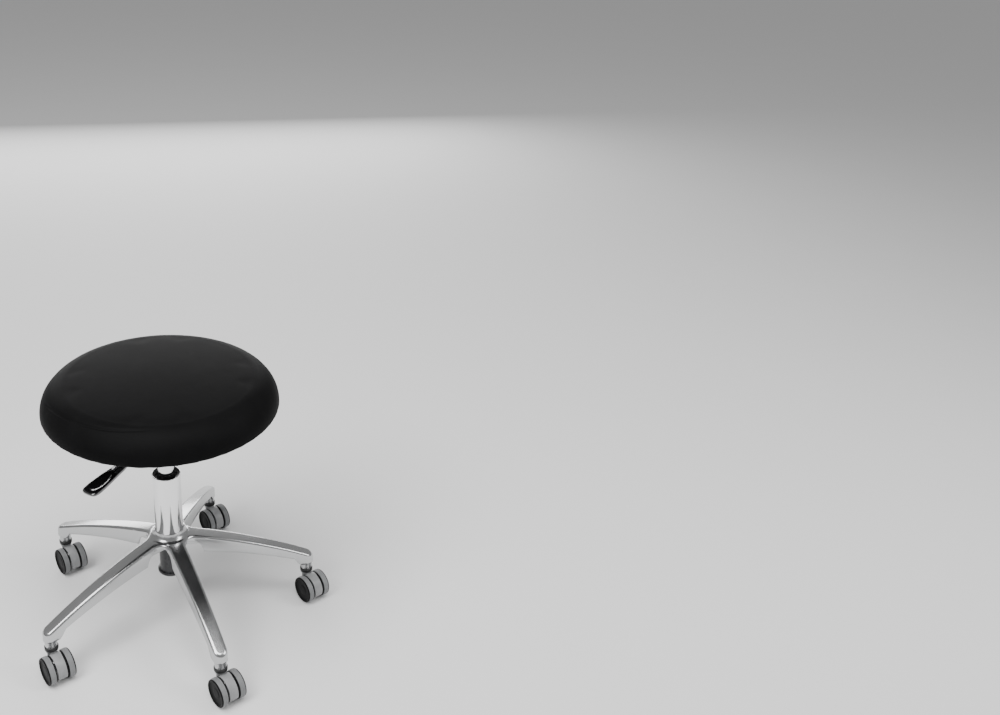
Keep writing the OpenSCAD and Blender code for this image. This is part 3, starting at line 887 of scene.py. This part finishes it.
class STOOL_OT_casters(bpy.types.Operator):
    """Twin-wheel casters: stems, collars, hoods, wheels and treads"""

    bl_idname = "stool.casters"
    bl_label = "Casters"

    def wheel(self, dish):
        """Outer half of a wheel with its dished face and hub, from the axle outwards"""
        r, face = WHEEL_R / MM, 24 - dish / MM
        disc = in_mm(
            (3.05, 10, 0.3), (6, 10, 0.5), (7, 17, 1), (19, 18, 1), (19, 9.9, 0.3), (r - 0.9, 9.9, 0.4),
            (r - 0.9, 11.7, 0.2), (r - 3.5, 11.7, 0), (r - 3.5, 21.3, 0), (r - 0.55, 21.3, 0.2),
            (r - 0.5, 22.4, 0.6), (r - 1.7, 23.4, 0.7), (r - 3, 23.5, 0.5), (r - 4, 22.9, 0.6),
            (r - 5, face - 0.6, 0.8), (13, face - 1, 4), (9.4, face - 0.8, 0.6), (8.8, face - 0.4, 0.4),
            (7, face - 0.2, 0.8), (0, face, 0), (0, 20, 0), (3.05, 20, 0.2),
        )
        return turned(rounded(disc), 72)

    def tread(self):
        """Soft band round a wheel, with a shallow groove"""
        r = WHEEL_R / MM
        band = in_mm(
            (r - 3.5, 11.8, 0.2), (r - 1.6, 11.8, 0.8), (r - 0.3, 12.1, 0.4), (r, 12.9, 0.4), (r, 15.1, 0.2),
            (r - 0.35, 15.4, 0.1), (r - 0.35, 15.9, 0.1), (r, 16.2, 0.2), (r, 20.3, 0.6),
            (r - 0.6, 21.25, 0.4), (r - 3.5, 21.25, 0.2),
        )
        return turned(rounded(band), 72)

    def collar(self):
        """Plastic ring between an arm's socket and the caster"""
        ring = in_mm(
            (8.05, 54.3, 0.2), (10.3, 54.3, 0.2), (10.3, 51.4, 0.2),
            (11.7, 51.4, 0.8), (11.7, 58.1, 1.2), (8.05, 58.1, 0.2),
        )
        return turned(rounded(ring), 48)

    def hood(self, i):
        """The hood's band sits a little inside the wheels and ends well above the floor"""
        piece = eased(f"caster_{i}_housing", 0.5 * MM, 28.0)
        ahead = Vector((*(AXLE[i] - STEM[i]).xy, 0)).normalized()
        for v in piece.data.vertices:
            from_axle = v.co - AXLE[i]
            across = from_axle.dot(AXLE_DIR)
            reach = (from_axle - AXLE_DIR * across).length
            angle = math.atan2(from_axle.z, from_axle.dot(ahead))
            share = smoothstep(reach, 16 * MM, 19 * MM) * (1 - smoothstep(angle, 1.25, 1.8))
            reach -= 1.2 * MM * share
            angle -= 0.28 * min(angle, 0.0) * share
            across *= 1 - 0.07 * share
            rise = Vector((0, 0, reach * math.sin(angle)))
            v.co = AXLE[i] + AXLE_DIR * across + ahead * reach * math.cos(angle) + rise

    def execute(self, context):
        dish = context.scene.stool_casters.dish
        disc, band, collar = self.wheel(dish), self.tread(), self.collar()
        build("stem_collars", [moved(collar, at_stem(i)) for i in STEM_ARMS], "caster_collars")
        for i in STEM_ARMS:
            eased(f"caster_{i}_stem", 0.3 * MM)
            eased(f"caster_{i}_axle", 0.4 * MM)
            self.hood(i)
            for side in ("left", "right"):
                place = on_axle(i, side)
                build(f"caster_{i}_disc_{side}", [moved(disc, place)], f"caster_{i}_wheel_{side}")
                build(f"caster_{i}_band_{side}", [moved(band, place)], f"caster_{i}_tread_{side}")
        return {"FINISHED"}


# ---------------------------------------------------------------- lever

LEVER_SLOPE, PADDLE_SLOPE, BEND_X = math.radians(14.4), math.radians(7), 109 * MM
# in mm: distance past the bend, half width, half thickness, drop of the middle, squareness
PADDLE = np.array([
    (-15.0, 6.4, 5.0, 1.6, 2.0), (-14.5, 7.2, 5.8, 1.6, 2.0), (-8.0, 8.2, 5.8, 1.5, 2.3),
    (0.0, 9.8, 5.3, 1.2, 2.6), (8.0, 10.8, 4.9, 0.8, 2.9), (15.0, 11.6, 4.5, 0.4, 3.2),
    (24.0, 12.6, 4.2, 0.1, 3.6), (36.0, 13.8, 4.1, 0.0, 4.0), (48.0, 14.8, 4.1, 0.0, 4.2),
    (58.0, 15.4, 4.0, 0.0, 4.2), (65.0, 15.5, 3.9, 0.0, 4.2), (70.0, 15.1, 3.7, 0.0, 4.0),
    (74.2, 13.8, 3.3, 0.0, 3.6), (76.9, 11.5, 2.7, 0.0, 3.2), (78.2, 8.5, 1.9, 0.0, 2.8),
    (78.7, 5.0, 1.0, 0.0, 2.4),
])
# in mm: distance past the bend, half width, height of the rim
STRIP = ((-13.0, 2.0, 3.2), (-8.0, 2.7, 5.2), (0.0, 2.9, 5.0), (10.0, 3.0, 4.8), (17.0, 2.8, 4.5))


class STOOL_OT_lever(bpy.types.Operator):
    """Height lever: steel rod with its boss, and the moulded paddle with its strip"""

    bl_idname = "stool.lever"
    bl_label = "Height lever"

    def ring(self, s, section):
        """Points of an (across, up) section in mm, set square to the lever s mm past its bend"""
        drop = (BEND_X - LEVER_PIN.xy.length) * math.tan(LEVER_SLOPE)
        bend = Vector((BEND_X, 0, LEVER_PIN.z - drop))
        tilt = LEVER_SLOPE if s < 0 else PADDLE_SLOPE
        centre = bend + Vector((s * math.cos(tilt), 0, -s * math.sin(tilt))) * MM
        up = Vector((math.sin(tilt), 0, math.cos(tilt)))
        return [centre + Vector((0, y * MM, 0)) + up * z * MM for y, z in section]

    def paddle_section(self, s, count):
        """Squarish oval, with a finger recess on top and a ridge towards the rod"""
        half_w, half_t, drop, power = (np.interp(s, PADDLE[:, 0], PADDLE[:, k]) for k in range(1, 5))
        ridge = smoothstep(s, -13, -9) * (1 - smoothstep(s, 12, 20))
        made = []
        for k in range(count):
            a = 2 * math.pi * k / count
            c, d = math.cos(a), math.sin(a)
            y = half_w * math.copysign(abs(c) ** (2 / power), c)
            z = half_t * math.copysign(abs(d) ** (2 / power), d)
            if z > 0:
                oval = ((s - 47) / 25) ** 2 + (y / (0.74 * half_w)) ** 2
                z -= 2.1 * (1 - smoothstep(oval, 0.55, 1.1))
                z += 0.9 * ridge * (1 - smoothstep(abs(y), 3.4, 5.2))
            made.append((y, z - drop))
        return made

    def strip_section(self, w, rise):
        """Bright strip along the ridge, with bevelled edges"""
        return [(-w, 2), (-w, rise), (1 - w, rise + 0.5), (w - 1, rise + 0.5), (w, rise), (w, 2)]

    def execute(self, context):
        eased("lever_rod", 0.5 * MM)
        eased("lever_pivot_pin", 0.5 * MM)
        outwards = turn_z(math.atan2(LEVER_PIN.y, LEVER_PIN.x))
        strip = [p for s, w, rise in STRIP for p in self.ring(s, self.strip_section(w, rise))]
        strip = moved((strip, ring_faces(len(STRIP), 6)), outwards)
        joined("lever_strip", [strip], "zinc_steel", "lever")
        count = 72
        along = sorted({*np.arange(-14.0, 78.0, 1.6), *PADDLE[:, 0]})
        points = [p for s in along for p in self.ring(s, self.paddle_section(s, count))]
        shape = moved((points, ring_faces(len(along), count)), outwards)
        paddle = build("lever_paddle", [shape], "lever_grip", angle=60.0)
        rounder = paddle.modifiers.new("rounder", "SUBSURF")
        rounder.levels = rounder.render_levels = 1
        return {"FINISHED"}


# ---------------------------------------------------------------- seat plate


class STOOL_OT_plate(bpy.types.Operator):
    """Seat plate with its pan, socket, bolts and tee nuts"""

    bl_idname = "stool.plate"
    bl_label = "Seat plate"

    def execute(self, context):
        for node, width in (
            ("seat_plate", 0.7), ("plate_socket", 0.5), ("plate_bolts", 0.4), ("tee_nuts", 0.2),
        ):
            eased(node, width * MM)
        return {"FINISHED"}


# ---------------------------------------------------------------- seat

# azimuth in degrees and radius in mm
SEAM = [
    (186, 190), (194.2, 186), (202.3, 182.2), (209.9, 179.9),
    (220, 177.1), (238.2, 173.4), (254.8, 168.5), (266, 166),
]
SEAM_DROP, GROOVE_DEPTH, GROOVE_WIDTH = 3 * MM, 2.1 * MM, 1.9 * MM
LOW_ROUND, SIDE_REACH, CROWN = 5 * MM, 46 * MM, 6 * MM
CLOTH_FRAMES, TIGHTNESS = 20, 0.88


def azimuth_of(place):
    return math.degrees(math.atan2(place.y, place.x)) % 360


def seam_radius(azimuth):
    """Radius of the top panel's front seam, and how strongly it shows"""
    radius = float(np.interp(azimuth, [a for a, _ in SEAM], [r for _, r in SEAM])) * MM
    share = smoothstep(azimuth, 178, 200) * (1 - smoothstep(azimuth, 246, 272))
    return radius, share


class STOOL_OT_seat(bpy.types.Operator):
    """Upholstered seat: padded cover, hem and staples under it, and the board"""

    bl_idname = "stool.seat"
    bl_label = "Seat"

    def outline(self, shrink):
        """Half section of the cushion, from the top's centre to the underside's, as (radius, height)"""
        r, edge, low = SEAT_R - shrink, SEAT_HIGH - CROWN - shrink, SEAT_LOW + 0.2 * MM
        flat, foot = r - SIDE_REACH, low + LOW_ROUND
        made = [(flat * k / 16, edge + CROWN * (1 - (k / 16) ** 2)) for k in range(17)]
        for k in range(1, 17):
            a = math.pi / 2 * (1 - k / 16)
            made.append((flat + SIDE_REACH * math.cos(a), foot + (edge - foot) * math.sin(a)))
        for k in range(1, 6):
            a = math.pi / 2 * k / 5
            made.append((r - LOW_ROUND * (1 - math.cos(a)), foot - LOW_ROUND * math.sin(a)))
        return made + [(0.0, low)]

    def drawn_in(self, mesh, share):
        """Draws a swollen cushion most of the way back to its section, so that the cover sits tight"""
        section = self.outline(0.0)
        dense = [
            tuple(Vector(p).lerp(Vector(q), k / 40))
            for p, q in zip(section, section[1:])
            for k in range(40)
        ]
        tree = kdtree.KDTree(len(dense))
        for k, (r, z) in enumerate(dense):
            tree.insert((r, 0, z), k)
        tree.balance()
        for v in mesh.vertices:
            r = math.hypot(v.co.x, v.co.y)
            near = tree.find((r, 0, v.co.z))[0]
            if r > 1e-6:
                v.co.xy *= 1 + share * (near.x - r) / r
            v.co.z += share * (near.z - v.co.z)

    def swollen(self, seat):
        """The cushion as cloth blown up a little, and no further than the swell"""
        mesh = closed_mesh("seat_pad", [turned(self.outline(0.5 * seat.swell), 128, closed=False)])
        pad = bpy.data.objects.new("seat_pad", mesh)
        bpy.context.scene.collection.objects.link(pad)
        bpy.context.view_layer.objects.active = pad
        pad.select_set(True)
        mesh.remesh_voxel_size = seat.voxel
        mesh.remesh_voxel_adaptivity = 0
        bpy.ops.object.voxel_remesh()
        start = np.array([v.co for v in pad.data.vertices])
        held = pad.vertex_groups.new(name="held")
        held.add([int(k) for k in np.where(start[:, 2] < SEAT_LOW + 4 * MM)[0]], 1.0, "REPLACE")
        cloth = pad.modifiers.new("cloth", "CLOTH")
        cloth.settings.use_pressure = True
        cloth.settings.uniform_pressure_force = 4.0
        cloth.settings.tension_stiffness = cloth.settings.compression_stiffness = 15.0
        cloth.settings.bending_stiffness = 8.0
        cloth.settings.shrink_min = 0.004
        cloth.settings.vertex_group_mass = "held"
        cloth.settings.effector_weights.gravity = 0.0
        cloth.point_cache.frame_end = CLOTH_FRAMES
        for k in range(CLOTH_FRAMES):
            bpy.context.scene.frame_set(k + 1)
        shown = pad.evaluated_get(bpy.context.evaluated_depsgraph_get()).data
        end = np.array([v.co for v in shown.vertices])
        step = end - start
        far = np.linalg.norm(step, axis=1, keepdims=True)
        step *= np.minimum(1.0, seat.swell / np.maximum(far, 1e-9))
        pad.modifiers.remove(cloth)
        pad.vertex_groups.clear()
        pad.data.vertices.foreach_set("co", (start + step).ravel())
        bpy.context.scene.frame_set(1)
        return pad

    def by_seam(self, place):
        line, share = seam_radius(azimuth_of(place))
        return share > 0 and place.z > SEAT_LOW + 25 * MM and abs(place.xy.length - line) < 9 * MM

    def creased(self, work):
        """Lowers the cover outside its seam, with a groove along it, and draws small waves at the hem"""
        beside = [e for e in work.edges if all(self.by_seam(v.co) for v in e.verts)]
        bmesh.ops.subdivide_edges(work, edges=beside, cuts=1, use_grid_fill=True)
        for v in work.verts:
            z, r, azimuth = v.co.z, math.hypot(v.co.x, v.co.y), azimuth_of(v.co)
            line, share = seam_radius(azimuth)
            upper = smoothstep(z, SEAT_LOW + 14 * MM, SEAT_LOW + 38 * MM)
            beyond = max(0.0, r - line) / (SEAT_R - line)
            groove = GROOVE_DEPTH * math.exp(-(((r - line) / GROOVE_WIDTH) ** 2))
            v.co.z -= upper * share * (SEAM_DROP * beyond**0.6 + groove)
            if z < SEAT_LOW + 8 * MM and r > 150 * MM:
                pull = math.sin(azimuth * math.pi / 180 * 44) * 0.25 * MM
                v.co.z += pull * smoothstep(r, 150 * MM, 185 * MM)

    def execute(self, context):
        seat = context.scene.stool_seat
        pad = self.swollen(seat)
        every_way = {"use_axis_x": True, "use_axis_y": True, "use_axis_z": True}
        work = bmesh.new()
        work.from_mesh(pad.data)
        for _ in range(4):
            bmesh.ops.smooth_vert(work, verts=work.verts, factor=0.4, **every_way)
        bmesh.ops.subdivide_edges(work, edges=work.edges, cuts=1, use_grid_fill=True, smooth=1.0)
        work.to_mesh(pad.data)
        self.drawn_in(pad.data, TIGHTNESS)
        work.clear()
        work.from_mesh(pad.data)
        self.creased(work)
        work.to_mesh(pad.data)
        work.free()
        for polygon in pad.data.polygons:
            polygon.use_smooth = True
        pad.data.materials.append(finish_of("leatherette"))
        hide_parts("seat_cover", "seat_foam")
        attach(pad, "seat")
        self.hem()
        self.staples()
        eased("seat_board", 0.6 * MM)
        return {"FINISHED"}

    def hem(self):
        """Cover folded under the board, in small pleats, with a ragged inner edge"""
        outer, inner, count, n = SEAT_R - 7 * MM, 164 * MM, 360, 9
        points = []
        for side in (0, 1):
            for t in (k / (n - 1) for k in range(n)):
                for a in (2 * math.pi * j / count for j in range(count)):
                    pleat = abs(math.sin(36 * a + 0.9 * math.sin(5 * a))) ** 6
                    ragged = 1.2 * MM * math.sin(11 * a) * t + 0.8 * MM * math.sin(29 * a + 1) * t
                    r = outer - t * (outer - inner) - ragged
                    z = BOARD_LOW - (1.1 - side) * MM - pleat * 0.7 * MM * t * (1 - side) - 0.05 * MM
                    points.append((r * math.cos(a), r * math.sin(a), z))
        top = n * count
        faces = []
        for i in range(n - 1):
            for j in range(count):
                a, b = i * count + j, i * count + (j + 1) % count
                c, d = b + count, a + count
                faces += [[a, b, c, d], [a + top, d + top, c + top, b + top]]
        for j in range(count):
            for i in (0, n - 1):
                a, b = i * count + j, i * count + (j + 1) % count
                faces.append([a, b, b + top, a + top])
        joined("seat_hem", [(points, faces)], "leatherette", "seat")

    def staples(self):
        """Ring of staples that hold the hem to the board"""
        count, reach, leg, wire = 48, 5 * MM, 1.2 * MM, 0.45 * MM
        staple = bar_along([(0, -reach, leg), (0, -reach, 0), (0, reach, 0), (0, reach, leg)], wire, 8)
        out = Matrix.Translation((163 * MM, 0, BOARD_LOW - 1.5 * MM))
        rows = []
        for k in range(count):
            lean = Matrix.Rotation(0.25 * noise.noise((k * 1.7, 0.3, 0)), 4, "Z")
            rows.append(moved(staple, turn_z(2 * math.pi * (k + 0.5) / count) @ out @ lean))
        joined("hem_staples", rows, "zinc_steel", "seat")


# ---------------------------------------------------------------- stage

STUDIO_LIGHT, MIDDLE = 0.34, (0, 0, 0.3)
# name, place, width and height in metres, watts
LAMPS = (
    ("key", (-1.7, -1.4, 2.8), (1.4, 1.4), 60),
    ("fill", (2.3, -0.8, 2.0), (1.0, 1.8), 30),
    ("top", (-0.3, -0.6, 3.0), (2.6, 1.2), 75),
    ("back", (-0.2, 3.4, 0.9), (3.4, 0.9), 55),
)
CAMERA_PLACE, CAMERA_AIM = Vector((0.0444, -1.5735, 1.3206)), Vector((0.18507, 0.88670, -0.42368))
CAMERA_ROLL, FOCAL_LENGTH, CAMERA_SHIFT = math.radians(2.43), 37.29, (0.12, -0.0375)


class STOOL_OT_stage(bpy.types.Operator):
    """Pale floor, soft lights and the camera"""

    bl_idname = "stool.stage"
    bl_label = "Stage"

    def lamp(self, name, place, size, power):
        data = bpy.data.lights.new(name, "AREA")
        data.shape = "RECTANGLE"
        data.size, data.size_y = size
        data.energy = power
        lamp = bpy.data.objects.new(name, data)
        lamp.location = place
        lamp.rotation_mode = "QUATERNION"
        lamp.rotation_quaternion = (Vector(MIDDLE) - Vector(place)).to_track_quat("-Z", "Y")
        bpy.context.scene.collection.objects.link(lamp)

    def camera(self, scene):
        data = bpy.data.cameras.new("camera")
        data.sensor_width, data.lens = 36, FOCAL_LENGTH
        data.shift_x, data.shift_y = CAMERA_SHIFT
        data.clip_start = 0.05
        camera = bpy.data.objects.new("camera", data)
        right = CAMERA_AIM.cross(Vector((0, 0, 1))).normalized()
        up = right.cross(CAMERA_AIM)
        side = right * math.cos(CAMERA_ROLL) + up * math.sin(CAMERA_ROLL)
        above = up * math.cos(CAMERA_ROLL) - right * math.sin(CAMERA_ROLL)
        turn = Matrix((side, above, -CAMERA_AIM)).transposed()
        camera.matrix_world = Matrix.Translation(CAMERA_PLACE) @ turn.to_4x4()
        scene.collection.objects.link(camera)
        scene.camera = camera

    def execute(self, context):
        stage = context.scene.stool_stage
        bpy.ops.mesh.primitive_plane_add(size=30)
        floor = context.active_object
        floor.name = "floor"
        floor.data.materials.append(finish_of("pale_floor"))
        world = bpy.data.worlds.new("studio")
        world.use_nodes = True
        context.scene.world = world
        background = world.node_tree.nodes["Background"]
        background.inputs["Color"].default_value = (*stage.sky, 1)
        background.inputs["Strength"].default_value = STUDIO_LIGHT
        for lamp in LAMPS:
            self.lamp(*lamp)
        self.camera(context.scene)
        return {"FINISHED"}


# ---------------------------------------------------------------- panel

STEPS = ("stage", "base", "column", "casters", "lever", "plate", "seat")
SETTINGS = {
    "stool_metal": StoolMetalSettings,
    "stool_casters": StoolCasterSettings,
    "stool_seat": StoolSeatSettings,
    "stool_stage": StoolStageSettings,
}


class STOOL_PT_pieces(bpy.types.Panel):
    """Lists the stool's pieces and their settings"""

    bl_idname = "STOOL_PT_pieces"
    bl_label = "Dentist stool"
    bl_space_type = "VIEW_3D"
    bl_region_type = "UI"
    bl_category = "Stool"

    def draw(self, context):
        for step in STEPS:
            self.layout.operator(f"stool.{step}")
        for name, group in SETTINGS.items():
            box = self.layout.box()
            for item in group.__annotations__:
                box.prop(getattr(context.scene, name), item)


CLASSES = (
    *SETTINGS.values(), STOOL_OT_stage, STOOL_OT_base, STOOL_OT_column, STOOL_OT_casters,
    STOOL_OT_lever, STOOL_OT_plate, STOOL_OT_seat, STOOL_PT_pieces,
)


def register():
    for cls in CLASSES:
        bpy.utils.register_class(cls)
    for name, group in SETTINGS.items():
        setattr(bpy.types.Scene, name, bpy.props.PointerProperty(type=group))


def unregister():
    for name in SETTINGS:
        delattr(bpy.types.Scene, name)
    for cls in reversed(CLASSES):
        bpy.utils.unregister_class(cls)


def main():
    register()
    for step in STEPS:
        getattr(bpy.ops.stool, step)()


if __name__ == "__main__":
    main()
